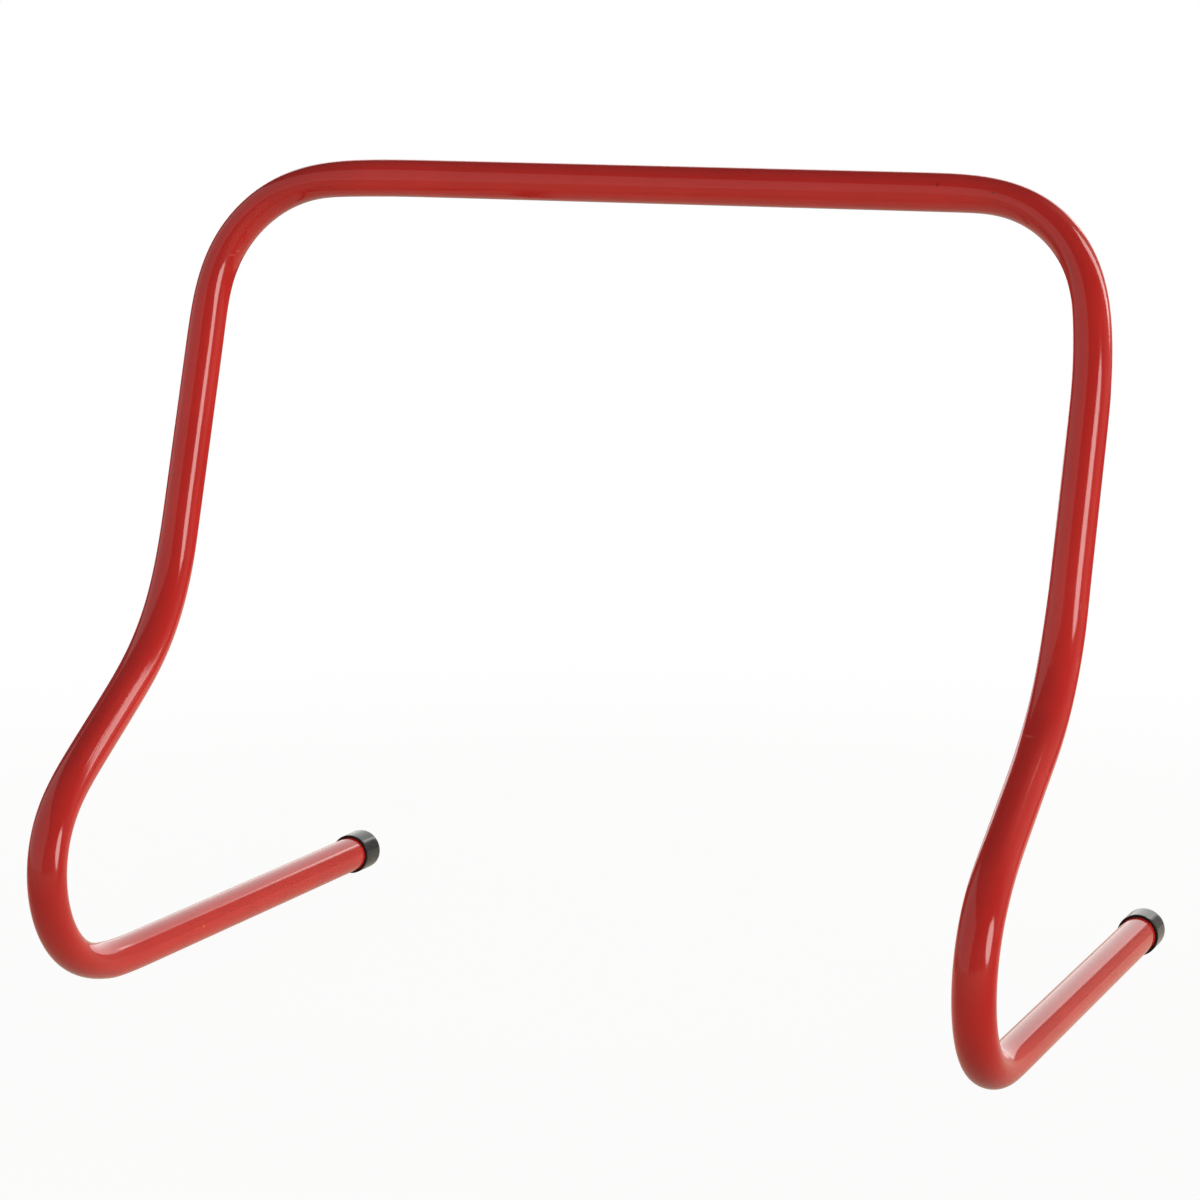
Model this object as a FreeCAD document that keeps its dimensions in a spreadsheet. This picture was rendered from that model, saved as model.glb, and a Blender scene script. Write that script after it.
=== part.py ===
import FreeCAD, Part
import math
import os
import Sketcher

# Speed hurdle: one tube bent hot from a single length, and a soft cap pushed on each foot.
# X runs along the bar, Y from the front bends back to the caps, Z up. The hurdle stands on
# z = 0, and the origin is the middle of its footprint.

# Driving sizes, in millimetres and degrees, each with what it measures
SIZES = [
    ("tube_od", 21.34, "outside diameter of the tube"),
    ("tube_wall", 2.0, "wall of the tube"),
    ("bar_height", 456.2, "top of the bar above the underside of the feet"),
    ("arch_width", 550.0, "outside width over the two uprights"),
    ("corner_radius", 82.0, "bend from bar to upright, on the centre line"),
    ("upright_lean", 17.4, "lean of the uprights back from vertical"),
    ("knee_radius", 148.0, "bend from upright to shank, on the centre line"),
    ("shank_angle", 32.5, "climb of the shank from the foot"),
    ("shank_straight", 75.5, "straight stretch between knee and front bend"),
    ("front_radius", 59.7, "bend from shank to foot, on the centre line"),
    ("foot_straight", 312.5, "straight stretch from front bend to the cut end"),
    ("toe_in", 1.04, "turn of each foot towards the middle"),
    ("cap_wall", 1.5, "wall of the cap's skirt"),
    ("cap_grip", 17.0, "length of tube inside the cap"),
    ("cap_end", 2.0, "thickness of the cap's closed end"),
    ("cap_edge", 1.6, "rounding of the cap's rear edge"),
    ("cap_fit", 0.05, "clearance between tube and cap, on the radius"),
]

doc = FreeCAD.newDocument("SpeedHurdle")
sheet = doc.addObject("Spreadsheet::Sheet", "Sizes")
for row, (alias, value, meaning) in enumerate(SIZES, start=1):
    sheet.set(f"A{row}", meaning)
    sheet.set(f"B{row}", str(value))
    sheet.setAlias(f"B{row}", alias)
doc.recompute()

# Expressions that more than one feature shares
HALF_WIDTH = "(Sizes.arch_width - Sizes.tube_od) / 2"
FOOT_AXIS_HEIGHT = "Sizes.tube_od / 2"
BAR_AXIS_HEIGHT = "Sizes.bar_height - Sizes.tube_od / 2"
LEAN = "Sizes.upright_lean * 1deg"
SHANK = "Sizes.shank_angle * 1deg"
TOE = "Sizes.toe_in * 1deg"

# Codes of a sketch: its origin point, its x axis, and the ends and centre of an element
ORIGIN, X_AXIS = -1, -1
START, END, CENTRE = 1, 2, 3


def origin_plane(body, role):
    """The body's own origin plane with this role."""
    return next(item for item in body.Origin.OriginFeatures if item.Role == role)


def new_sketch(body, name, role, offset=None):
    """A sketch on one of the body's origin planes, moved and turned by bound offsets."""
    sketch = body.newObject("Sketcher::SketchObject", name)
    sketch.AttachmentSupport = [(origin_plane(body, role), "")]
    sketch.MapMode = "FlatFace"
    for target, expression in (offset or {}).items():
        sketch.setExpression("AttachmentOffset." + target, expression)
    return sketch


def point(x, y=0.0):
    """A point of a sketch."""
    return FreeCAD.Vector(x, y, 0)


def heading(angle):
    """The unit vector at this angle, in degrees, from the sketch's x axis."""
    return point(math.cos(math.radians(angle)), math.sin(math.radians(angle)))


def line(sketch, start, end, helper=False):
    return sketch.addGeometry(Part.LineSegment(start, end), helper)


def arc(sketch, centre, radius, first, last):
    """An arc drawn counter-clockwise between two angles in degrees."""
    circle = Part.Circle(centre, FreeCAD.Vector(0, 0, 1), radius)
    span = (math.radians(first), math.radians(last))
    return sketch.addGeometry(Part.ArcOfCircle(circle, *span), False)


def relate(sketch, *rules):
    """Geometric constraints, one tuple each."""
    for rule in rules:
        sketch.addConstraint(Sketcher.Constraint(*rule))


def bind(sketch, kind, *where, to):
    """A dimension that follows an expression on the sheet."""
    value = sketch.evalExpression(to)
    index = sketch.addConstraint(Sketcher.Constraint(kind, *where, value))
    sketch.setExpression(f"Constraints[{index}]", to)


def read_off(sketch, name, kind, *where):
    """A named dimension that is read from the solved sketch and drives nothing in it."""
    index = sketch.addConstraint(Sketcher.Constraint(kind, *where, 1.0))
    sketch.setDriving(index, False)
    sketch.renameConstraint(index, name)


# The tube's centre line is drawn for the right leg, in three planes that share their tangents.
# The body's origin lies on the floor, below the point where foot and shank would cross unbent.

def draw_foot_path(body):
    """Foot, front bend and shank, in the plane that holds the toed-in foot and the shank."""
    sketch = new_sketch(body, "foot_path", "YZ_Plane", {
        "Base.y": FOOT_AXIS_HEIGHT,
        "Base.z": HALF_WIDTH,
        "Rotation.Pitch": "Sizes.toe_in",
        "Rotation.Roll": f"atan(sin({TOE}) / tan({SHANK}))",
    })
    climb_in_plane = f"acos(cos({TOE}) * cos({SHANK}))"
    climb = sketch.evalExpression(climb_in_plane).Value
    radius = sheet.front_radius
    tangent = radius / math.tan(math.radians(climb) / 2)
    foot = line(sketch, point(tangent + sheet.foot_straight), point(tangent))
    bend = arc(sketch, point(tangent, radius), radius, climb + 90, 270)
    shank = line(sketch, heading(climb) * tangent, heading(climb) * (tangent + sheet.shank_straight))
    relate(sketch, ("PointOnObject", foot, START, X_AXIS), ("Horizontal", foot),
           ("Tangent", foot, END, bend, END), ("Tangent", bend, START, shank, START),
           ("PointOnObject", ORIGIN, START, shank))
    bind(sketch, "Distance", foot, to="Sizes.foot_straight")
    bind(sketch, "Radius", bend, to="Sizes.front_radius")
    bind(sketch, "Distance", shank, to="Sizes.shank_straight")
    bind(sketch, "Angle", shank, to=climb_in_plane)
    read_off(sketch, "foot_reach", "Distance", ORIGIN, START, foot, START)
    read_off(sketch, "shank_reach", "Distance", ORIGIN, START, shank, END)
    doc.recompute()
    return sketch


def draw_leg_path(body):
    """Knee bend and upright, in the plane of the leg, on from the top of the shank."""
    sketch = new_sketch(body, "leg_path", "YZ_Plane", {
        "Base.y": FOOT_AXIS_HEIGHT,
        "Base.z": HALF_WIDTH,
    })
    shank_reach = "foot_path.Constraints.shank_reach"
    upright_top = f"Sizes.bar_height - Sizes.tube_od - Sizes.corner_radius * cos({LEAN})"
    climb, lean, radius = sheet.shank_angle, sheet.upright_lean, sheet.knee_radius
    shank_end = heading(climb) * sketch.evalExpression(shank_reach).Value
    centre = shank_end + heading(climb + 90) * radius
    knee_end = centre + heading(-lean) * radius
    rise = sketch.evalExpression(upright_top) - knee_end.y
    upright_end = knee_end + point(rise * math.tan(math.radians(lean)), rise)
    shank = line(sketch, point(0), shank_end, helper=True)
    knee = arc(sketch, centre, radius, climb - 90, -lean)
    upright = line(sketch, knee_end, upright_end)
    relate(sketch, ("Coincident", shank, START, ORIGIN, START),
           ("Tangent", shank, END, knee, START), ("Tangent", knee, END, upright, START))
    bind(sketch, "Distance", shank, to=shank_reach)
    bind(sketch, "Angle", shank, to=SHANK)
    bind(sketch, "Radius", knee, to="Sizes.knee_radius")
    bind(sketch, "Angle", upright, to=f"90deg - {LEAN}")
    bind(sketch, "DistanceY", ORIGIN, START, upright, END, to=upright_top)
    read_off(sketch, "upright_setback", "DistanceX", ORIGIN, START, upright, END)
    doc.recompute()
    return sketch


# The bar lies behind the top of the uprights by the lean of the corner bends.
BAR_SETBACK = f"leg_path.Constraints.upright_setback + Sizes.corner_radius * sin({LEAN}) * 1mm"


def draw_arch_path(body):
    """Half the bar and its corner bend, in the plane that leans back with the uprights."""
    sketch = new_sketch(body, "arch_path", "XZ_Plane", {
        "Base.y": BAR_AXIS_HEIGHT,
        "Base.z": f"-({BAR_SETBACK})",
        "Rotation.Roll": "-Sizes.upright_lean",
    })
    radius = sheet.corner_radius
    bar_end = point(sketch.evalExpression(HALF_WIDTH) - radius)
    bar = line(sketch, point(0), bar_end)
    corner = arc(sketch, bar_end - point(0, radius), radius, 0, 90)
    relate(sketch, ("Coincident", bar, START, ORIGIN, START), ("Horizontal", bar),
           ("Tangent", bar, END, corner, END), ("Horizontal", corner, CENTRE, corner, START))
    bind(sketch, "Radius", corner, to="Sizes.corner_radius")
    bind(sketch, "DistanceX", ORIGIN, START, corner, START, to=HALF_WIDTH)
    doc.recompute()
    return sketch


def draw_tube_section(body):
    """The ring of the tube's wall, at the middle of the bar."""
    sketch = new_sketch(body, "tube_section", "YZ_Plane", {
        "Base.x": BAR_SETBACK,
        "Base.y": BAR_AXIS_HEIGHT,
    })
    for diameter in ("Sizes.tube_od", "Sizes.tube_od - 2 * Sizes.tube_wall"):
        radius = sketch.evalExpression(diameter) / 2
        circle = Part.Circle(point(0), FreeCAD.Vector(0, 0, 1), radius)
        ring = sketch.addGeometry(circle, False)
        relate(sketch, ("Coincident", ring, CENTRE, ORIGIN, START))
        bind(sketch, "Diameter", ring, to=diameter)
    doc.recompute()
    return sketch


def make_tube():
    """The hurdle's tube: one half swept along its centre line, then mirrored."""
    body = doc.addObject("PartDesign::Body", "HurdleTube")
    body.Label = "hurdle_tube"
    foot_path = draw_foot_path(body)
    leg_path = draw_leg_path(body)
    arch_path = draw_arch_path(body)
    section = draw_tube_section(body)
    centre_line = body.newObject("PartDesign::SubShapeBinder", "centre_line")
    centre_line.Support = [(path, ("",)) for path in (arch_path, leg_path, foot_path)]
    doc.recompute()
    half = body.newObject("PartDesign::AdditivePipe", "half_tube")
    half.Profile = section
    edge_count = len(centre_line.Shape.Edges)
    half.Spine = (centre_line, [f"Edge{number + 1}" for number in range(edge_count)])
    whole = body.newObject("PartDesign::Mirrored", "whole_tube")
    whole.Originals = [half]
    whole.MirrorPlane = (origin_plane(body, "YZ_Plane"), [""])
    body.Tip = whole
    doc.recompute()
    return body


def make_cap(label):
    """A soft cup turned about Z: its floor lies on z = 0, its skirt below, its closed end above."""
    body = doc.addObject("PartDesign::Body", label.title().replace("_", ""))
    body.Label = label
    sketch = new_sketch(body, label + "_profile", "XZ_Plane")
    bore_radius = sheet.tube_od / 2 + sheet.cap_fit
    outer_radius = bore_radius + sheet.cap_wall
    top, mouth_level, rounding = sheet.cap_end, -sheet.cap_grip, sheet.cap_edge
    round_centre = point(outer_radius - rounding, top - rounding)
    floor = line(sketch, point(0), point(bore_radius))
    bore = line(sketch, point(bore_radius), point(bore_radius, mouth_level))
    mouth = line(sketch, point(bore_radius, mouth_level), point(outer_radius, mouth_level))
    skirt = line(sketch, point(outer_radius, mouth_level), point(outer_radius, round_centre.y))
    edge = arc(sketch, round_centre, rounding, 0, 90)
    rear = line(sketch, point(round_centre.x, top), point(0, top))
    axis = line(sketch, point(0, top), point(0))
    relate(sketch, ("Coincident", floor, START, ORIGIN, START), ("Coincident", floor, END, bore, START),
           ("Coincident", bore, END, mouth, START), ("Coincident", mouth, END, skirt, START),
           ("Tangent", skirt, END, edge, START), ("Tangent", edge, END, rear, START),
           ("Coincident", rear, END, axis, START), ("Coincident", axis, END, ORIGIN, START),
           ("Horizontal", floor), ("Vertical", bore), ("Horizontal", mouth),
           ("Vertical", skirt), ("Horizontal", rear), ("Vertical", axis))
    bind(sketch, "Distance", floor, to="Sizes.tube_od / 2 + Sizes.cap_fit")
    bind(sketch, "Distance", bore, to="Sizes.cap_grip")
    bind(sketch, "Distance", mouth, to="Sizes.cap_wall")
    bind(sketch, "Distance", axis, to="Sizes.cap_end")
    bind(sketch, "Radius", edge, to="Sizes.cap_edge")
    cup = body.newObject("PartDesign::Revolution", label + "_cup")
    cup.Profile = sketch
    cup.ReferenceAxis = (sketch, ["V_Axis"])
    cup.Angle = 360
    doc.recompute()
    return body


def seat_caps(tube, caps):
    """Put each cap on the cut end of its foot, its floor against the tube."""
    foot = tube.getObject("foot_path")
    along = foot.Placement.Rotation.multVec(FreeCAD.Vector(1, 0, 0))
    cut_end = foot.Placement.multVec(point(foot.getDatum("foot_reach").Value))
    for cap, side in caps:
        seat = FreeCAD.Vector(side * cut_end.x, cut_end.y, cut_end.z)
        outward = FreeCAD.Vector(side * along.x, along.y, along.z)
        turn = FreeCAD.Rotation(FreeCAD.Vector(0, 0, 1), outward)
        cap.Placement = FreeCAD.Placement(seat, turn)


def move(pieces, shift, turn):
    """Carry the pieces together, and work out where they now are."""
    step = FreeCAD.Placement(shift, turn)
    for piece in pieces:
        piece.Placement = step * piece.Placement
    doc.recompute()


def stand_on_floor(pieces):
    """Set the hurdle down on its front bends and cap rims, over the middle of its footprint."""
    # The caps stand proud of the tube, so on the floor the feet climb a little to the rear.
    proud = sheet.cap_wall + sheet.cap_fit
    tip = math.degrees(math.atan2(proud, sheet.foot_straight - sheet.cap_grip))
    move(pieces, FreeCAD.Vector(), FreeCAD.Rotation(FreeCAD.Vector(1, 0, 0), tip))
    box = Part.makeCompound([piece.Shape for piece in pieces]).optimalBoundingBox()
    move(pieces, FreeCAD.Vector(0, -box.Center.y, -box.ZMin), FreeCAD.Rotation())


def check_model(pieces):
    """Stop before anything is written if a feature failed or a shape is not sound."""
    for item in doc.Objects:
        if "Invalid" in item.State or "Error" in item.State:
            raise RuntimeError(f"{item.Label} failed to compute: {item.State}")
    for piece in pieces:
        if piece.Shape.isNull() or not piece.Shape.isValid():
            raise RuntimeError(f"{piece.Label} has no sound shape")


hurdle_tube = make_tube()
left_cap = make_cap("left_end_cap")
right_cap = make_cap("right_end_cap")
hurdle = [hurdle_tube, left_cap, right_cap]
seat_caps(hurdle_tube, [(left_cap, -1), (right_cap, 1)])
stand_on_floor(hurdle)
check_model(hurdle)

os.makedirs("parts", exist_ok=True)
for piece in hurdle:
    box = piece.Shape.optimalBoundingBox()
    corner = tuple(round(value, 2) for value in (box.XMin, box.YMin, box.ZMin))
    span = tuple(round(value, 2) for value in (box.XLength, box.YLength, box.ZLength))
    print(f"{piece.Label}: {piece.Shape.Volume / 1000:.2f} cm3, from {corner}, size {span}")
    piece.Shape.exportStep(f"parts/{piece.Label}.step")
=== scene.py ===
# %% [markdown]
# # A speed hurdle in red pipe
# The real hurdle is one length of red plastic pipe, bent hot at six places, with a black vinyl cap
# on each foot. The packed CAD model says where everything is, so it is loaded first and stays fixed.

# %% Load the fixed frame
import math

import bmesh
import bpy
from mathutils import Matrix, Vector


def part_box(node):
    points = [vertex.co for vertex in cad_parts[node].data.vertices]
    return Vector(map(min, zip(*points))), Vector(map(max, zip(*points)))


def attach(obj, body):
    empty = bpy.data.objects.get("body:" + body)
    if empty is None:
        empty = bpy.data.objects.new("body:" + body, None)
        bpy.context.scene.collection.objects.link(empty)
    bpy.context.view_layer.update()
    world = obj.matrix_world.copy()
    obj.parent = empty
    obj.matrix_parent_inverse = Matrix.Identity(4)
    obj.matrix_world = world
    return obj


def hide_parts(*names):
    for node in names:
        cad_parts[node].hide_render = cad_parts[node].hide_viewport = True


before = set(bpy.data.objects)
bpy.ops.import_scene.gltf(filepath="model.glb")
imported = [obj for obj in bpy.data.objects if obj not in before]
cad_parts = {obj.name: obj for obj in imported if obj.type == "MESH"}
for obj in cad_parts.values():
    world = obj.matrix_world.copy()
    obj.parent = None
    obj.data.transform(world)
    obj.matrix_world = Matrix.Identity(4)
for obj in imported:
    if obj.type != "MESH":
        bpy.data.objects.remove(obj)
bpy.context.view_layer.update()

# %% [markdown]
# ## The route of the pipe
# A bent pipe is known by where its straight runs would cross and by the radius of each bend. Those
# crossings could be read off the CAD mesh, but that gives thousands of points and no rule. The sizes
# below are the ones the CAD is drawn from, so the crossings are worked out from them again.

# %% Sizes of the bent pipe, in metres and radians
MM = 0.001
TUBE_RADIUS = 10.67 * MM
TUBE_WALL = 2.0 * MM
BAR_AXIS_HEIGHT = 456.2 * MM - TUBE_RADIUS
HALF_WIDTH = 275.0 * MM - TUBE_RADIUS
KNEE_RADIUS = 148.0 * MM
FRONT_RADIUS = 59.7 * MM
SHANK_STRAIGHT = 75.5 * MM
FOOT_STRAIGHT = 312.5 * MM
UPRIGHT_LEAN = math.radians(17.4)
SHANK_ANGLE = math.radians(32.5)
TOE_IN = math.radians(1.04)
CAP_GRIP = 17.0 * MM
CAP_PROUD = 1.55 * MM
print("pipe", round(2 * TUBE_RADIUS, 5), "m across, axis of the bar", round(BAR_AXIS_HEIGHT, 4), "m up")


# %% Where the straight runs of one leg cross
def leg_crossings(side):
    """Cut end, front, knee and corner of one leg, before the hurdle is set down on its caps."""
    foot = Vector((-side * math.sin(TOE_IN), math.cos(TOE_IN), 0))
    shank = Vector((0, math.cos(SHANK_ANGLE), math.sin(SHANK_ANGLE)))
    upright = Vector((0, math.sin(UPRIGHT_LEAN), math.cos(UPRIGHT_LEAN)))
    front_tangent = FRONT_RADIUS / math.tan(foot.angle(shank) / 2)
    knee_tangent = KNEE_RADIUS * math.tan(shank.angle(upright) / 2)
    front = Vector((side * HALF_WIDTH, 0, TUBE_RADIUS))
    cut_end = front + foot * (front_tangent + FOOT_STRAIGHT)
    knee = front + shank * (front_tangent + SHANK_STRAIGHT + knee_tangent)
    corner = knee + upright * ((BAR_AXIS_HEIGHT - knee.z) / upright.z)
    return [cut_end, front, knee, corner]


print("right leg:", [[round(v, 4) for v in point] for point in leg_crossings(1)])

# %% Set the route down on the floor, where the CAD tube lies
tip = Matrix.Rotation(math.atan2(CAP_PROUD, FOOT_STRAIGHT - CAP_GRIP), 3, "X")
crossings = [tip @ p for p in leg_crossings(-1) + leg_crossings(1)[::-1]]
tube_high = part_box("hurdle_tube")[1]
foot_axis = (crossings[7] - crossings[6]).normalized()
rear_reach = TUBE_RADIUS * math.sqrt(1 - foot_axis.y ** 2)
shift = Vector((0, tube_high.y - rear_reach - crossings[7].y, tube_high.z - TUBE_RADIUS - crossings[3].z))
crossings = [p + shift for p in crossings]
print("bar axis at y, z:", [round(v, 4) for v in crossings[3][1:]])

# %% [markdown]
# The CAD bends are exact arcs. The photograph shows a pipe that was bent by hand: its bends are
# tightest in the middle, and three of them start with a small crook where the heated stretch met the
# cold pipe. Each crook swaps one crossing for two, so it stays a matter of a distance and an angle.
# The legs come in a little, because their bends grow wider and the hurdle stays within the CAD's width.


# %% Crooks next to three of the bends
def with_crook(crossing, towards, other, distance, angle):
    """Two crossings for one: a crook on the way to the next point, and the bend that is left."""
    leg = (towards - crossing).normalized()
    arm = (other - crossing).normalized()
    moved = distance * math.sin(angle) / math.sin(leg.angle(arm) + angle)
    return crossing + leg * distance, crossing + arm * moved


# each crook's distance from its bend, and its angle
FOOT_CROOK = (212.0 * MM, math.radians(6.0))
BAR_CROOK = (102.0 * MM, math.radians(2.4))
UPRIGHT_CROOK = (92.0 * MM, math.radians(8.0))
LEG_INSET = Vector((0.65 * MM, 0, 0))
left_cut, left_front, left_knee, left_corner, right_corner, right_knee, right_front, right_cut = crossings
left_front, left_knee = left_front + LEG_INSET, left_knee + LEG_INSET
right_front, right_knee = right_front - LEG_INSET, right_knee - LEG_INSET
foot_crook, left_front_bend = with_crook(left_front, left_cut, left_knee, *FOOT_CROOK)
bar_crook, left_corner_bend = with_crook(left_corner, right_corner, left_knee, *BAR_CROOK)
upright_crook, right_corner_bend = with_crook(right_corner, right_knee, left_corner, *UPRIGHT_CROOK)
print("left corner moved", round((left_corner_bend - left_corner).length, 4), "m by its crook")

# %% [markdown]
# Each row below is one crossing. It has the radius of its bend and how the pipe gave way there: how much
# the inside and the outside came towards the axis, and how much the section widened across, all as shares
# of the pipe's radius. The last value is how much painted shade darkens the red in that bend.

# %% The route as it was really bent
BENDS = (
    # crossing, bend radius, thin inside, thin outside, widen, painted bend shade
    (left_cut, 0.0, 0.0, 0.0, 0.0, 0.0),
    (foot_crook, 90.0 * MM, 0.0, 0.0, 0.0, 0.0),
    (left_front_bend, 57.2 * MM, 0.04, 0.12, 0.06, 0.15),
    (left_knee, 126.0 * MM, 0.04, 0.05, 0.05, 0.0),
    (left_corner_bend, 71.0 * MM, 0.13, 0.05, 0.05, 0.35),
    (bar_crook, 110.0 * MM, 0.0, 0.0, 0.0, 0.0),
    (right_corner_bend, 69.0 * MM, 0.14, 0.06, 0.05, 0.35),
    (upright_crook, 90.0 * MM, 0.05, 0.05, 0.0, 0.6),
    (right_knee, 126.0 * MM, 0.04, 0.05, 0.05, 0.0),
    (right_front, 58.7 * MM, 0.04, 0.05, 0.06, 0.0),
    (right_cut, 0.0, 0.0, 0.0, 0.0, 0.0),
)
BEND_COLUMNS = ("bend_radius", "thin_inside", "thin_outside", "widen", "heating")
print("route:", len(BENDS), "crossings")

# %% [markdown]
# ## A shorthand for node trees
# Geometry and materials below are both node trees. Wired by hand they are long lists of links, so one
# small class wraps an output socket: arithmetic on it adds Math nodes, and one method adds any other
# node from its type, its settings and what goes into its sockets. A few short methods stand for the
# nodes that come up most often.


# %% The wire class
class Wire:
    """An output socket of a node tree, or only the tree where nothing is wired yet."""

    def __init__(self, tree, socket=None):
        self.tree = tree
        self.socket = socket

    def node(self, kind, settings=None, inputs=None, out=0):
        """Add a node. Inputs are keyed by socket name or number, and out picks the output."""
        made = self.tree.nodes.new(kind)
        for name, value in (settings or {}).items():
            setattr(made, name, value)
        shown = [s for s in made.inputs if s.enabled]
        for key, value in (inputs or {}).items():
            socket = shown[key] if isinstance(key, int) else next(s for s in shown if s.name == key)
            if isinstance(value, Wire):
                value.into(socket)
            else:
                socket.default_value = value
        if isinstance(out, str):
            return Wire(self.tree, made.outputs[out])
        return Wire(self.tree, [s for s in made.outputs if s.enabled][out])

    def into(self, socket):
        """Link this wire to a socket."""
        self.tree.links.new(self.socket, socket)

    def math(self, operation, *values):
        return self.node("ShaderNodeMath", {"operation": operation}, dict(enumerate(values)))

    def vector(self, operation, *values, out=0):
        return self.node("ShaderNodeVectorMath", {"operation": operation}, dict(enumerate(values)), out)

    def scaled(self, vector, factor):
        inputs = {"Vector": vector, "Scale": factor}
        return self.node("ShaderNodeVectorMath", {"operation": "SCALE"}, inputs)

    def mix(self, factor, first, second):
        """Mix two colours."""
        colours = {"Factor": factor, "A": first, "B": second}
        return self.node("ShaderNodeMix", {"data_type": "RGBA"}, colours)

    def noise(self, place, scale, detail, roughness=0.5):
        """A smooth noise, its scale in grains per metre."""
        inputs = {"Vector": place, "Scale": scale, "Detail": detail, "Roughness": roughness}
        return self.node("ShaderNodeTexNoise", None, inputs)

    def step(self, low, high):
        """A smooth step from 0 at low to 1 at high."""
        settings = {"interpolation_type": "SMOOTHSTEP"}
        return self.node("ShaderNodeMapRange", settings, {"Value": self, "From Min": low, "From Max": high})

    def __add__(self, other):
        return self.math("ADD", self, other)

    def __radd__(self, other):
        return self.math("ADD", other, self)

    def __sub__(self, other):
        return self.math("SUBTRACT", self, other)

    def __rsub__(self, other):
        return self.math("SUBTRACT", other, self)

    def __mul__(self, other):
        return self.math("MULTIPLY", self, other)

    def __rmul__(self, other):
        return self.math("MULTIPLY", other, self)

    def __truediv__(self, other):
        return self.math("DIVIDE", self, other)

    def __rtruediv__(self, other):
        return self.math("DIVIDE", other, self)


print("a wire can:", ", ".join(name for name in vars(Wire) if not name.startswith("_")))

# %% [markdown]
# ## Red pipe
# Extruded PVC is coloured through. Its skin is glossy with a faint orange peel, the die leaves fine
# lines along the pipe, and use leaves scuffs that are paler and duller than the rest. A flat red with
# one roughness would look like a toy, so each of those is a mask. The pipe carries an attribute named
# skin, the place on the pipe unrolled round its axis, so that lines run along every bend. Another
# attribute is high in the tight bends, and there it darkens the red as painted shade.


# %% Red pipe: noises and the masks made from them
def new_material(name):
    """A bare material, with a wire to start from and its Principled shader."""
    material = bpy.data.materials.new(name)
    material.use_nodes = True
    return material, Wire(material.node_tree), material.node_tree.nodes["Principled BSDF"]


red_pipe, wire, shader = new_material("red_pipe")
skin = wire.node("ShaderNodeAttribute", {"attribute_name": "skin"}, out="Vector")
# painted shade: how much the red darkens in the tight bends
scorch = wire.node("ShaderNodeAttribute", {"attribute_name": "scorch"}, out="Fac")
place = wire.node("ShaderNodeTexCoord", out="Object")
# squashed along the pipe, so that a grain of noise is drawn out into a line
LINE_STRETCH = (1.0, 1.0, 0.02)
SCUFF_STRETCH = (1.0, 1.0, 0.25)
die_lines = wire.noise(wire.vector("MULTIPLY", skin, LINE_STRETCH), 900.0, 2.0)
scuff_noise = wire.noise(wire.vector("MULTIPLY", skin, SCUFF_STRETCH), 160.0, 5.0, 0.65)
cloud = wire.noise(place, 14.0, 3.0)
peel = wire.noise(place, 210.0, 1.0)
grain = wire.noise(place, 1500.0, 2.0)
worn = cloud.step(0.52, 0.68)
scuffs = scuff_noise.step(0.63, 0.72) * worn
print("red pipe:", len(wire.tree.nodes), "nodes for its masks")

# %% Red pipe: its colour
DEEP_RED = (0.45, 0.016, 0.012, 1.0)
WARM_RED = (0.51, 0.021, 0.0155, 1.0)
SCUFF_RED = (0.58, 0.085, 0.070, 1.0)
# painted shade: the darker red that the tight bends move towards
BEND_SHADE_RED = (0.29, 0.0105, 0.008, 1.0)
SCUFF_STRENGTH = 0.5
tone = wire.mix(cloud.step(0.3, 0.7), DEEP_RED, WARM_RED)
tone = wire.mix(scorch, tone, BEND_SHADE_RED)
colour = wire.mix(scuffs * SCUFF_STRENGTH, tone, SCUFF_RED)
print("red from", DEEP_RED[:3], "to", WARM_RED[:3])

# %% [markdown]
# The few marks that can be told apart, such as two dark nicks on the bar and a crease at the left corner,
# are soft spots at their own places. They could be painted on a picture, but a spot needs only a place, a
# reach and a colour, and it stays sharp from near by.


# %% Red pipe: the marks
def blot(spot, reach):
    """A soft spot on the pipe: 1 in its middle, 0 beyond its reach along x, y and z."""
    away = wire.vector("DIVIDE", wire.vector("SUBTRACT", place, spot), reach)
    return 1 - wire.vector("LENGTH", away, out="Value").step(0.4, 1.0)


NICK = (0.05, 0.012, 0.012, 1.0)
FLECK = (0.72, 0.15, 0.03, 1.0)
MARKS = (
    # place, reach, colour, strength
    ((0.1705, 0.0233, 0.4508), (0.0008, 0.0014, 0.0016), NICK, 0.75),
    ((0.2022, 0.0216, 0.4471), (0.0016, 0.0010, 0.0008), NICK, 0.55),
    ((0.2597, -0.0871, 0.1764), (0.0045, 0.0035, 0.0008), SCUFF_RED, 0.6),
    ((-0.2482, 0.0151, 0.4026), (0.0028, 0.0026, 0.0006), SCUFF_RED, 0.5),
    ((-0.2504, 0.0124, 0.4004), (0.0032, 0.0026, 0.0006), SCUFF_RED, 0.5),
    ((-0.2481, -0.0327, 0.0125), (0.0008, 0.0014, 0.0010), FLECK, 0.8),
)
for spot, reach, paint, strength in MARKS:
    colour = wire.mix(blot(spot, reach) * strength, colour, paint)
print("red pipe:", len(MARKS), "marks")

# %% Red pipe: gloss and relief
roughness = 0.06 + 0.05 * cloud + 0.04 * die_lines + 0.22 * scuffs
height = 0.25 * peel + 0.05 * die_lines + 0.07 * grain - 0.3 * scuffs
bump = wire.node("ShaderNodeBump", None, {"Height": height, "Strength": 0.06, "Distance": 0.0005})
colour.into(shader.inputs["Base Color"])
roughness.into(shader.inputs["Roughness"])
bump.into(shader.inputs["Normal"])
shader.inputs["IOR"].default_value = 1.46
print("red pipe:", len(wire.tree.nodes), "nodes")

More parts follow.
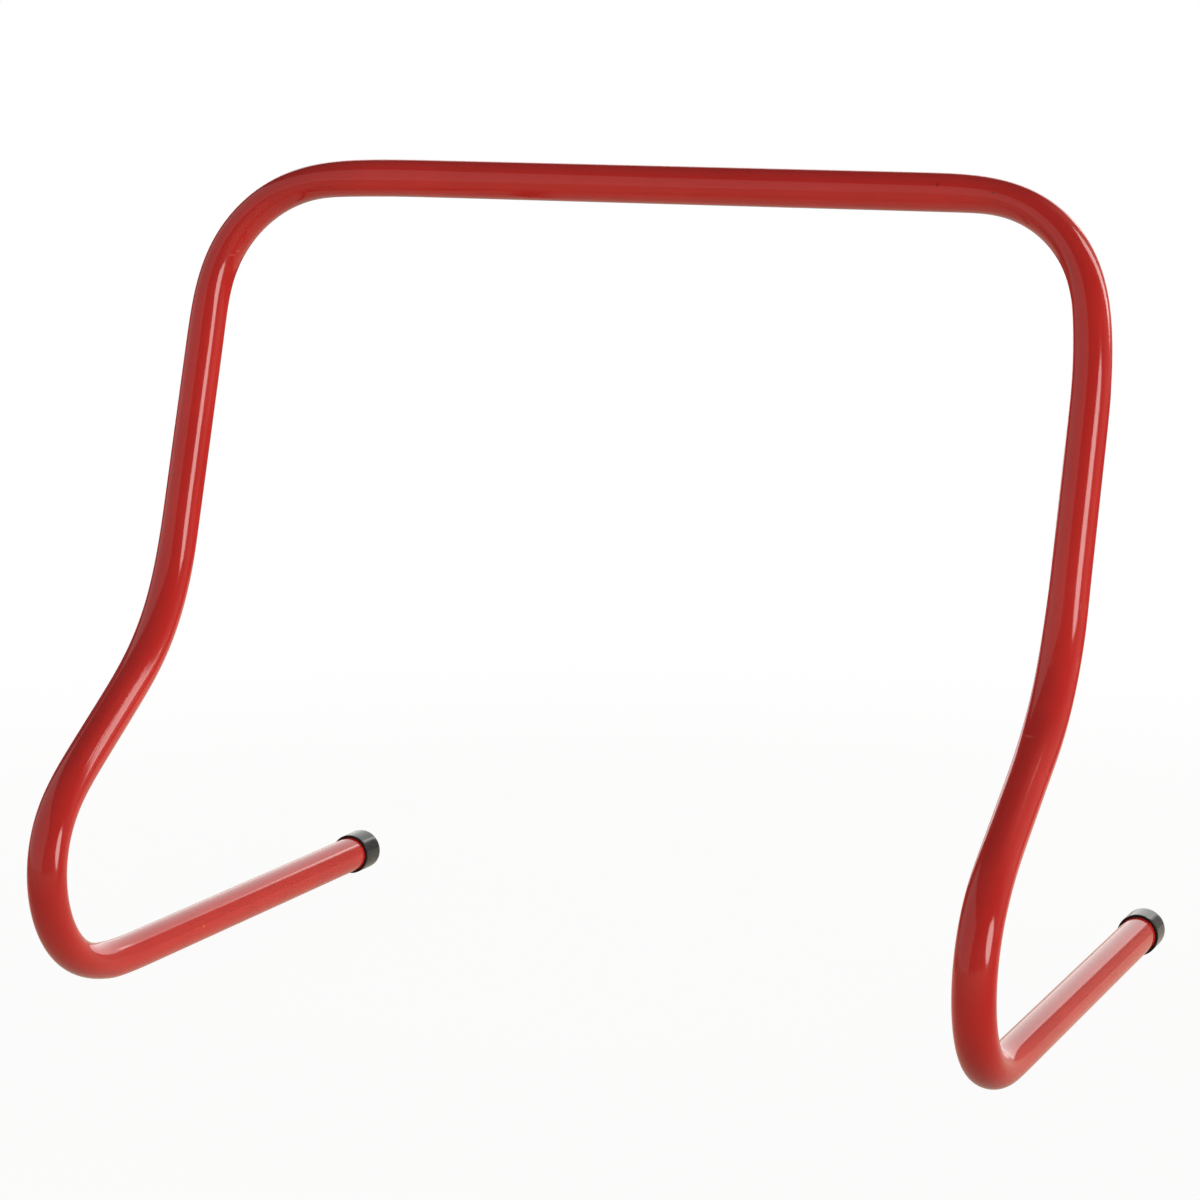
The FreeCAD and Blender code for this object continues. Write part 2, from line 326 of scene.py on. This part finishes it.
# %% [markdown]
# ## The bent pipe itself
# A curve with a bevel would give a perfect round pipe. A real pipe bent hot goes flat in its bends:
# the outside is pulled in, the inside is pressed, and the section grows a little wider across. One
# Geometry Nodes tree does it all: it rounds the corners of the route, measures how hard the pipe is
# bending at each ring, sweeps the outside and the bore, and squeezes both by that measure.

# %% The tree: names of its inputs
tube_tree = bpy.data.node_groups.new("bent_pipe", "GeometryNodeTree")
TREE_INPUTS = (
    ("Route", "NodeSocketGeometry", None),
    ("Tube Radius", "NodeSocketFloat", TUBE_RADIUS),
    ("Bore Radius", "NodeSocketFloat", TUBE_RADIUS - TUBE_WALL),
    ("Ring Spacing", "NodeSocketFloat", 4.0 * MM),
    ("Ring Sides", "NodeSocketInt", 64),
    ("Bend Points", "NodeSocketInt", 56),
    ("Ease Rings", "NodeSocketInt", 3),
    ("Ease Passes", "NodeSocketInt", 24),
    ("Material", "NodeSocketMaterial", red_pipe),
)
sockets = {}
for name, kind, value in TREE_INPUTS:
    sockets[name] = tube_tree.interface.new_socket(name, in_out="INPUT", socket_type=kind)
tube_tree.interface.new_socket("Pipe", in_out="OUTPUT", socket_type="NodeSocketGeometry")
group_input = tube_tree.nodes.new("NodeGroupInput")
given = {name: Wire(tube_tree, group_input.outputs[name]) for name, kind, value in TREE_INPUTS}
wire = Wire(tube_tree)


def named(attribute, kind="FLOAT"):
    """Read a named attribute in the pipe's tree."""
    return wire.node("GeometryNodeInputNamedAttribute", {"data_type": kind}, {"Name": attribute})


def store(geometry, attribute, value, kind="FLOAT_VECTOR"):
    """Keep a value on each point of the geometry under a name."""
    inputs = {"Geometry": geometry, "Name": attribute, "Value": value}
    return wire.node("GeometryNodeStoreNamedAttribute", {"data_type": kind}, inputs)


print("pipe tree takes:", ", ".join(given))

# %% The tree: round the route's corners and ease them
curve = wire.node("GeometryNodeMeshToCurve", None, {"Mesh": given["Route"]})
curve = wire.node("GeometryNodeFilletCurve", {"mode": "POLY"},
                  {"Curve": curve, "Count": given["Bend Points"], "Radius": named("bend_radius")})
curve = wire.node("GeometryNodeResampleCurve", {"mode": "LENGTH"},
                  {"Curve": curve, "Length": given["Ring Spacing"]})
along = wire.node("GeometryNodeSplineParameter", out="Factor")
# the cut ends stay where they are while the rest is eased
free = wire.math("MINIMUM", along, 1 - along).step(0.01, 0.05)
eased = wire.node("GeometryNodeBlurAttribute", {"data_type": "FLOAT_VECTOR"},
                  {"Value": wire.node("GeometryNodeInputPosition"), "Iterations": given["Ease Passes"],
                   "Weight": free})
curve = wire.node("GeometryNodeSetPosition", None, {"Geometry": curve, "Position": eased})
print("pipe tree:", len(tube_tree.nodes), "nodes for the curve")

# %% The tree: measure the bend at each ring
tangent = wire.node("GeometryNodeInputTangent")
index = wire.node("GeometryNodeInputIndex")
last = wire.node("GeometryNodeAttributeDomainSize", {"component": "CURVE"}, {"Geometry": curve}) - 1
ahead = wire.math("MINIMUM", index + given["Ease Rings"], last)
behind = wire.math("MAXIMUM", index - given["Ease Rings"], 0)


def tangent_at(ring):
    """The pipe's direction at another ring of the curve."""
    return wire.node("GeometryNodeFieldAtIndex", {"data_type": "FLOAT_VECTOR"},
                     {"Value": tangent, "Index": ring})


turn = wire.vector("SUBTRACT", tangent_at(ahead), tangent_at(behind))
# 1 where the pipe bends as hard as its bend radius says
per_turn = named("bend_radius") / (2 * given["Ease Rings"] * given["Ring Spacing"])
curve = store(curve, "bend", wire.scaled(turn, per_turn))
curve = store(curve, "core", wire.node("GeometryNodeInputPosition"))
curve = store(curve, "axis", tangent)
curve = store(curve, "run", wire.node("GeometryNodeSplineParameter", out="Length"), "FLOAT")
print("pipe tree:", len(tube_tree.nodes), "nodes with the bend measured")


# %% The tree: sweep the outside and the bore
def sweep(radius):
    """A pipe wall of this radius along the curve, each point knowing its angle round the pipe."""
    ring = wire.node("GeometryNodeCurvePrimitiveCircle", {"mode": "RADIUS"},
                     {"Resolution": given["Ring Sides"], "Radius": radius})
    ring = store(ring, "around", wire.node("GeometryNodeSplineParameter", out="Factor"), "FLOAT")
    return wire.node("GeometryNodeCurveToMesh", None, {"Curve": curve, "Profile Curve": ring})


outside = sweep(given["Tube Radius"])
bore = wire.node("GeometryNodeFlipFaces", None, {"Mesh": sweep(given["Bore Radius"])})
join = tube_tree.nodes.new("GeometryNodeJoinGeometry")
for wall in (bore, outside):
    wall.into(join.inputs[0])
walls = Wire(tube_tree, join.outputs[0])
print("pipe tree:", len(tube_tree.nodes), "nodes with both walls")

# %% The tree: squeeze the section in the bends
arm = wire.vector("SUBTRACT", wire.node("GeometryNodeInputPosition"), named("core", "FLOAT_VECTOR"))
bend = named("bend", "FLOAT_VECTOR")
inward = wire.vector("NORMALIZE", bend)
hardness = wire.vector("LENGTH", bend, out="Value").step(0.0, 1.0)
across = wire.vector("CROSS_PRODUCT", named("axis", "FLOAT_VECTOR"), inward)
reach_in = wire.vector("DOT_PRODUCT", arm, inward, out="Value")
reach_across = wire.vector("DOT_PRODUCT", arm, across, out="Value")
is_inside = wire.math("GREATER_THAN", reach_in, 0.0)
thinning = is_inside * named("thin_inside") + (1 - is_inside) * named("thin_outside")
push_in = wire.scaled(inward, 0 - reach_in * thinning * hardness)
push_across = wire.scaled(across, reach_across * named("widen") * hardness)
squeeze = wire.vector("ADD", push_in, push_across)
walls = wire.node("GeometryNodeSetPosition", None, {"Geometry": walls, "Offset": squeeze})
print("pipe tree:", len(tube_tree.nodes), "nodes with the squeeze")

# %% The tree: what the material reads, and the way out
angle = named("around") * (2 * math.pi)
unrolled = wire.node("ShaderNodeCombineXYZ", None, {
    "X": wire.math("COSINE", angle) * given["Tube Radius"],
    "Y": wire.math("SINE", angle) * given["Tube Radius"],
    "Z": named("run")})
walls = store(walls, "skin", unrolled)
# painted shade: the bend's share times how hard the pipe bends there
walls = store(walls, "scorch", named("heating") * hardness, "FLOAT")
walls = wire.node("GeometryNodeSetShadeSmooth", None, {"Geometry": walls})
walls = wire.node("GeometryNodeRealizeInstances", None, {"Geometry": walls})
walls = wire.node("GeometryNodeSetMaterial", None, {"Geometry": walls, "Material": given["Material"]})
walls.into(tube_tree.nodes.new("NodeGroupOutput").inputs[0])
print("pipe tree:", len(tube_tree.nodes), "nodes")

# %% [markdown]
# The route is a mesh of eleven points joined by edges, and each point carries its row of the table. The
# tree runs on it as a modifier. What comes out is kept as a plain mesh, which needs no modifier any more.

# %% Make the route, run the tree and keep a plain mesh
route = bpy.data.meshes.new("pipe_route")
route.from_pydata([row[0] for row in BENDS], [(i, i + 1) for i in range(len(BENDS) - 1)], [])
for column, attribute in enumerate(BEND_COLUMNS, start=1):
    layer = route.attributes.new(attribute, "FLOAT", "POINT")
    layer.data.foreach_set("value", [row[column] for row in BENDS])
route_object = bpy.data.objects.new("pipe_route", route)
bpy.context.scene.collection.objects.link(route_object)
modifier = route_object.modifiers.new("bent_pipe", "NODES")
modifier.node_group = tube_tree
for name, kind, value in TREE_INPUTS:
    if value is not None:
        modifier[sockets[name].identifier] = value
evaluated = route_object.evaluated_get(bpy.context.evaluated_depsgraph_get())
tube_mesh = bpy.data.meshes.new_from_object(evaluated)
bpy.data.objects.remove(route_object)
print("pipe mesh:", len(tube_mesh.vertices), "points", len(tube_mesh.polygons), "faces")

# %% [markdown]
# The pipe was sawn to length, so each end shows the wall's thickness as a flat ring with slightly broken
# edges. The sweep leaves its ends open. Joining the two open rims gives that ring, and a small bevel on
# them breaks the edges.


# %% Close the sawn ends and break their edges
def close_ends(mesh, edge_break):
    """Join the outside to the bore at both ends, and bevel the rims of the cut."""
    work = bmesh.new()
    work.from_mesh(mesh)
    open_edges = [e for e in work.edges if e.is_boundary]
    rims = []
    for side in (-1, 1):
        ring = [e for e in open_edges if side * e.verts[0].co.x > 0]
        bmesh.ops.bridge_loops(work, edges=ring)
        rims += ring
    bmesh.ops.recalc_face_normals(work, faces=work.faces)
    bmesh.ops.bevel(work, geom=rims, offset=edge_break, segments=2, affect="EDGES")
    for face in work.faces:
        face.smooth = True
    work.to_mesh(mesh)
    work.free()


SAWN_EDGE = 0.35 * MM
close_ends(tube_mesh, SAWN_EDGE)
pipe = bpy.data.objects.new("bent_pipe", tube_mesh)
bpy.context.scene.collection.objects.link(pipe)
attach(pipe, "tube")
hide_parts("hurdle_tube")
print("pipe:", sum(len(p.vertices) - 2 for p in tube_mesh.polygons), "triangles")

# %% [markdown]
# ## Black vinyl
# The caps are dipped in soft black vinyl: never quite black, with a shiny skin, fine pores and a bloom
# of dust that sits on top. A very dark, slightly blue grey with two noises gives that. The ring at the
# mouth is painted blacker as shade and is duller than the rest, and an attribute tells where it is.

# %% The black vinyl's material
black_vinyl, wire, shader = new_material("black_vinyl")
place = wire.node("ShaderNodeTexCoord", out="Object")
lip = wire.node("ShaderNodeAttribute", {"attribute_name": "lip"}, out="Fac")
bloom = wire.noise(place, 120.0, 4.0)
pores = wire.noise(place, 2600.0, 2.0)
VINYL_DARK = (0.012, 0.015, 0.017, 1.0)
VINYL_DUSTY = (0.019, 0.025, 0.027, 1.0)
# painted shade at the cap's mouth, where it meets the pipe
VINYL_MOUTH_SHADE = (0.005, 0.003, 0.003, 1.0)
dusty = wire.mix(bloom.step(0.35, 0.75), VINYL_DARK, VINYL_DUSTY)
colour = wire.mix(lip, dusty, VINYL_MOUTH_SHADE)
roughness = 0.11 + 0.08 * bloom + 0.4 * lip
height = 0.5 * pores + 0.3 * bloom
bump = wire.node("ShaderNodeBump", None, {"Height": height, "Strength": 0.15, "Distance": 0.0002})
colour.into(shader.inputs["Base Color"])
roughness.into(shader.inputs["Roughness"])
bump.into(shader.inputs["Normal"])
shader.inputs["Specular IOR Level"].default_value = 0.33
print("black vinyl:", len(wire.tree.nodes), "nodes")

# %% [markdown]
# ## The caps
# Each cap is a turned shape, so its outline is drawn once and spun about the foot's axis. The outline
# runs from the middle of the floor inside, down the bore, round the mouth, up the skirt and over the
# soft rear edge to a shallow dimple where the vinyl drained off the mould.

# %% The cap's outline, as radius and distance behind the pipe's cut end
CAP_BORE = TUBE_RADIUS + 0.05 * MM
CAP_RADIUS = TUBE_RADIUS + CAP_PROUD
CAP_END = 2.0 * MM
CAP_EDGE = 1.6 * MM
MOUTH_EDGE = 0.45 * MM
DIMPLE_DEPTH = 0.35 * MM
DIMPLE_RIM = 0.7
DIMPLE_RINGS = (DIMPLE_RIM, 0.5, 0.36, 0.27, 0.2, 0.1, 0.0)


def quarter(centre, radius, first, count):
    """Points of a quarter turn, counter-clockwise from an angle in degrees."""
    angles = [math.radians(first + 90 * i / count) for i in range(count + 1)]
    return [(centre[0] + radius * math.cos(a), centre[1] + radius * math.sin(a)) for a in angles]


def cap_outline():
    """The whole outline, from the axis inside to the axis outside."""
    outline = [(0.0, 0.0), (CAP_BORE * 0.5, 0.0), (CAP_BORE, 0.0)]
    outline += [(CAP_BORE, -CAP_GRIP * share / 6) for share in range(1, 6)]
    outline += quarter((CAP_BORE + MOUTH_EDGE, -CAP_GRIP + MOUTH_EDGE), MOUTH_EDGE, 180, 3)
    outline += quarter((CAP_RADIUS - MOUTH_EDGE, -CAP_GRIP + MOUTH_EDGE), MOUTH_EDGE, 270, 3)
    outline += [(CAP_RADIUS, -CAP_GRIP + CAP_GRIP * share / 8) for share in range(1, 8)]
    outline += quarter((CAP_RADIUS - CAP_EDGE, CAP_END - CAP_EDGE), CAP_EDGE, 0, 8)
    for share in DIMPLE_RINGS:
        outline.append((CAP_RADIUS * share, CAP_END - DIMPLE_DEPTH * (1 - share / DIMPLE_RIM) ** 0.5))
    return outline


print("cap outline:", len(cap_outline()), "points")


# %% Spin the outline into a cap on each foot
def make_cap(name, seat, axis, sides=72):
    """A closed cup on the pipe's cut end, its axis pointing away from the pipe."""
    work = bmesh.new()
    points = [work.verts.new((radius, 0.0, behind_cut)) for radius, behind_cut in cap_outline()]
    edges = [work.edges.new(pair) for pair in zip(points, points[1:])]
    bmesh.ops.spin(work, geom=points + edges, cent=(0, 0, 0), axis=(0, 0, 1),
                   angle=2 * math.pi, steps=sides, use_merge=True)
    bmesh.ops.remove_doubles(work, verts=work.verts, dist=1e-6)
    bmesh.ops.recalc_face_normals(work, faces=work.faces)
    # marks the ring at the mouth that gets painted shade
    lip_layer = work.verts.layers.float.new("lip")
    for point in work.verts:
        point[lip_layer] = float(point.co.z < MOUTH_EDGE / 2 - CAP_GRIP)
    turn_to_axis = axis.to_track_quat("Z", "X").to_matrix().to_4x4()
    bmesh.ops.transform(work, matrix=Matrix.Translation(seat) @ turn_to_axis, verts=work.verts)
    for face in work.faces:
        face.smooth = True
    mesh = bpy.data.meshes.new(name)
    work.to_mesh(mesh)
    work.free()
    mesh.materials.append(black_vinyl)
    cap = bpy.data.objects.new(name, mesh)
    bpy.context.scene.collection.objects.link(cap)
    return cap


for side, seat, before in (("left", crossings[0], crossings[1]), ("right", crossings[7], crossings[6])):
    cap = make_cap(side + "_vinyl_cap", seat, (seat - before).normalized())
    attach(cap, side + "_cap")
    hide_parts(side + "_end_cap")
    print(cap.name, len(cap.data.polygons), "faces, CAD box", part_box(side + "_end_cap"))

# %% [markdown]
# ## The camera
# The photograph's camera stands a little right of the middle and a little above the bar. Its place,
# turn and lens were worked out by fitting the drawn hurdle to the photograph's outline.

# %% Camera
CAMERA_YAW = 0.3914842
CAMERA_PITCH = 0.1547699
CAMERA_ROLL = 0.0086258
CAMERA_DISTANCE = 2.120176
CAMERA_TARGET = Vector((-0.027159, 0.032861, 0.210628))
camera_data = bpy.data.cameras.new("photo_camera")
camera_data.sensor_width = 36.0
camera_data.lens = 111.892
camera = bpy.data.objects.new("photo_camera", camera_data)
bpy.context.scene.collection.objects.link(camera)
level = math.cos(CAMERA_PITCH)
back = Vector((math.sin(CAMERA_YAW) * level, -math.cos(CAMERA_YAW) * level, math.sin(CAMERA_PITCH)))
right = Vector((math.cos(CAMERA_YAW), math.sin(CAMERA_YAW), 0))
up = back.cross(right)
rolled_right = right * math.cos(CAMERA_ROLL) + up * math.sin(CAMERA_ROLL)
rolled_up = up * math.cos(CAMERA_ROLL) - right * math.sin(CAMERA_ROLL)
turned = Matrix((rolled_right, rolled_up, back)).transposed().to_4x4()
camera.matrix_world = Matrix.Translation(CAMERA_TARGET + back * CAMERA_DISTANCE) @ turned
bpy.context.scene.camera = camera
print("camera at", [round(v, 3) for v in camera.location])

# %% [markdown]
# ## Floor and surround
# The hurdle stands on a pale sweep with nothing else in sight. In the pipe's gloss the feet mirror a pool
# of bright paper behind them and the bar mirrors the paper in front, while the edges of the uprights
# mirror a dark floor farther back. So the paper is warm, and its colour is a painted pool of light under
# the hurdle and in front, with painted shade beyond it, darkest far behind.

# %% Floor: the paper's colour
floor_paper, wire, shader = new_material("floor_paper")
PAPER = (0.86, 0.79, 0.67, 1.0)
PAPER_PALE = (0.89, 0.82, 0.70, 1.0)
# painted shade: dim beyond the pool of light, and dark far behind
FLOOR_DIM = (0.40, 0.37, 0.32, 1.0)
FLOOR_SHADE_BEHIND = (0.14, 0.13, 0.12, 1.0)
POOL_CENTRE = (-0.1, 0.5, 0.0)
POOL_REACH = (0.78, 0.75, 1.0)
spot = wire.node("ShaderNodeTexCoord", out="Object")
from_pool = wire.vector("DIVIDE", wire.vector("SUBTRACT", spot, POOL_CENTRE), POOL_REACH)
beyond = wire.vector("LENGTH", from_pool, out="Value").step(0.8, 1.15)
backwards = wire.node("ShaderNodeSeparateXYZ", None, {"Vector": spot}, out="Y")
nearer = (0 - backwards).step(0.1, 0.5)
paper = wire.mix(wire.noise(spot, 3.0, 2.0), PAPER, PAPER_PALE)
# painted shade round the pool of light, with plain paper in front
painted_floor_shade = wire.mix(backwards.step(0.5, 1.4), FLOOR_DIM, FLOOR_SHADE_BEHIND)
painted_floor_shade = wire.mix(nearer, painted_floor_shade, PAPER)
wire.mix(beyond, paper, painted_floor_shade).into(shader.inputs["Base Color"])
shader.inputs["Roughness"].default_value = 0.9
shader.inputs["Specular IOR Level"].default_value = 0.0
print("floor paper:", len(wire.tree.nodes), "nodes for its colour")

# %% [markdown]
# Lighting the sweep to white would flood the pipe. Instead, rays from the camera and through glass see
# the paper lifted to white. A small part of what they see near the hurdle is still lit by the lamps, and
# keeps the shadow. Reflections see the pool and the front lifted less, and the far floor glows a little
# for scattered light, as paper does that is lit all over.


# %% Floor: what each kind of ray sees
def sort_rays(start):
    """Three masks: rays of the camera or through glass, rays of a reflection, and all the rest."""
    camera_ray = start.node("ShaderNodeLightPath", out="Is Camera Ray")
    light_path = camera_ray.socket.node
    through = Wire(start.tree, light_path.outputs["Is Transmission Ray"])
    glossy = Wire(start.tree, light_path.outputs["Is Glossy Ray"])
    direct = start.math("MAXIMUM", camera_ray, through)
    mirrored = glossy * (1 - direct)
    return direct, mirrored, 1 - direct - mirrored


FEET_LIFT = 0.45
FRONT_LIFT = 0.18
FLOOR_GLOW = 0.42
SHADOW_SHARE = 0.05
WARM_PAPER = (1.0, 0.86, 0.68, 1.0)
WHITE = (1.0, 1.0, 1.0, 1.0)
direct, mirrored, scattered = sort_rays(wire)
far = wire.vector("LENGTH", spot, out="Value").step(0.5, 1.2)
mirror_lift = wire.math("MAXIMUM", (1 - beyond) * FEET_LIFT, nearer * FRONT_LIFT)
direct_lift = (1 - SHADOW_SHARE) + SHADOW_SHARE * far
lift = direct * direct_lift + mirrored * mirror_lift + scattered * far * FLOOR_GLOW
tint = wire.mix(direct, WARM_PAPER, WHITE)
glow = wire.node("ShaderNodeEmission", None, {"Color": tint, "Strength": 1.0})
lit_paper = Wire(wire.tree, shader.outputs[0])
lifted = wire.node("ShaderNodeMixShader", None, {0: lift, 1: lit_paper, 2: glow})
lifted.into(wire.tree.nodes["Material Output"].inputs["Surface"])
print("floor paper:", len(wire.tree.nodes), "nodes")

# %% Floor: a wide disc
FLOOR_RADIUS = 14.0
floor_mesh = bpy.data.meshes.new("floor")
work = bmesh.new()
bmesh.ops.create_circle(work, cap_ends=True, segments=96, radius=FLOOR_RADIUS)
work.to_mesh(floor_mesh)
work.free()
floor_mesh.materials.append(floor_paper)
floor = bpy.data.objects.new("floor", floor_mesh)
bpy.context.scene.collection.objects.link(floor)
print("floor:", len(floor_mesh.polygons), "face")

# %% [markdown]
# ## The room
# The camera sees white all round. A white room would leave the red without any depth, because gloss
# mirrors it everywhere, so a reflection sees a dark room with a warm side at the back right. Scattered
# light comes from low walls, most of it from behind and from the right, as the pipe's soft shading shows.

# %% World: directions and kinds of rays
world = bpy.data.worlds.new("studio")
bpy.context.scene.world = world
world.use_nodes = True
wire = Wire(world.node_tree)
direction = wire.node("ShaderNodeTexCoord", out="Generated")
rightward = wire.node("ShaderNodeSeparateXYZ", None, {"Vector": direction}, out="X")
behind = Wire(wire.tree, rightward.socket.node.outputs["Y"])
upward = Wire(wire.tree, rightward.socket.node.outputs["Z"])
direct, mirrored, scattered = sort_rays(wire)
print("world:", len(wire.tree.nodes), "nodes to tell rays apart")

# %% World: what each kind of ray sees
ROOM_DARK = 0.06
ROOM_FRONT = 0.10
ROOM_ABOVE = 0.05
ROOM_RIGHT = 0.40
WALL_GLOW = 2.95
WALL_BEHIND = 0.55
WALL_RIGHT = 0.38
WHITE_LIGHT = (1.0, 1.0, 1.0)
WARM_LIGHT = (1.0, 0.85, 0.68)
in_front = 1 - behind.step(-0.2, 0.6)
room = ROOM_DARK + ROOM_FRONT * in_front + ROOM_ABOVE * upward.step(0.5, 0.9)
warm_side = mirrored * ROOM_RIGHT * behind.step(-0.1, 0.5) * rightward.step(0.05, 0.3)
low_walls = WALL_GLOW * (1 - upward.step(0.12, 0.55))
lighting = ROOM_DARK + low_walls * (1 + WALL_BEHIND * behind + WALL_RIGHT * rightward)
brightness = direct + mirrored * room + scattered * lighting
light = wire.vector("ADD", wire.scaled(WHITE_LIGHT, brightness), wire.scaled(WARM_LIGHT, warm_side))
light.into(world.node_tree.nodes["Background"].inputs["Color"])
print("world:", len(wire.tree.nodes), "nodes")

# %% [markdown]
# ## Lamps
# The pipe's own reflections say where the lamps stood: a round umbrella to the right of the camera draws
# the bright line down each upright, a broad dim wall on the left greys their left edges, a narrow box
# behind on the right touches the left shank, and a wide box at the back with a strip beside it lies along
# both feet. Radiance is what a reflection shows, so each lamp is given by its radiance and size, and its
# power follows. What a lamp shows in the gloss and how much light it casts are set apart, so most lamps
# are pairs: one is only mirrored and the other only casts light.

# %% Lamps
LAMPS = (
    # name, outline, azimuth, elevation, roll, distance, width, height, radiance shown, radiance cast
    ("umbrella", "ELLIPSE", 65.5, 11.5, 0.0, 3.8, 1.8, 1.9, 6.1, 3.6),
    ("left_wall", "RECTANGLE", -60.0, 19.0, 0.0, 2.6, 5.4, 3.0, 0.60, 1.25),
    ("rear_box", "RECTANGLE", 124.0, 32.0, 20.0, 1.35, 0.30, 0.95, 5.2, 0.8),
    ("back_box", "RECTANGLE", 195.5, 16.5, 0.0, 3.0, 3.3, 2.15, 1.65, 1.8),
    ("back_strip", "RECTANGLE", 168.0, 23.5, 0.0, 7.0, 0.6, 0.85, 2.9, 0.0),
)
LAMP_AIM = Vector((0, 0, 0.2))
LAMP_COLOUR = (1.0, 0.98, 0.95)


def soft_box(name, outline, azimuth, elevation, roll, distance, width, height, shown, cast):
    """A broad lamp aimed at the hurdle. Azimuth 0 is in front, 90 on the right, in degrees."""
    a = math.radians(azimuth)
    e = math.radians(elevation)
    away = Vector((math.sin(a) * math.cos(e), -math.cos(a) * math.cos(e), math.sin(e)))
    turned_lamp = away.to_track_quat("Z", "Y").to_matrix() @ Matrix.Rotation(math.radians(roll), 3, "Z")
    for part, radiance in (("shown", shown), ("cast", cast)):
        if radiance == 0.0:
            continue
        data = bpy.data.lights.new(name + "_" + part, "AREA")
        data.shape = outline
        data.color = LAMP_COLOUR
        data.size = width
        data.size_y = height
        data.energy = radiance * math.pi * width * height
        lamp = bpy.data.objects.new(data.name, data)
        bpy.context.scene.collection.objects.link(lamp)
        lamp.location = LAMP_AIM + away * distance
        lamp.rotation_euler = turned_lamp.to_euler()
        lamp.visible_camera = False
        lamp.visible_glossy = part == "shown"
        lamp.visible_diffuse = part == "cast"
        print(data.name, [round(v, 2) for v in lamp.location], round(data.energy, 1), "W")


for row in LAMPS:
    soft_box(*row)

# %% View transform
bpy.context.scene.view_settings.view_transform = "Standard"
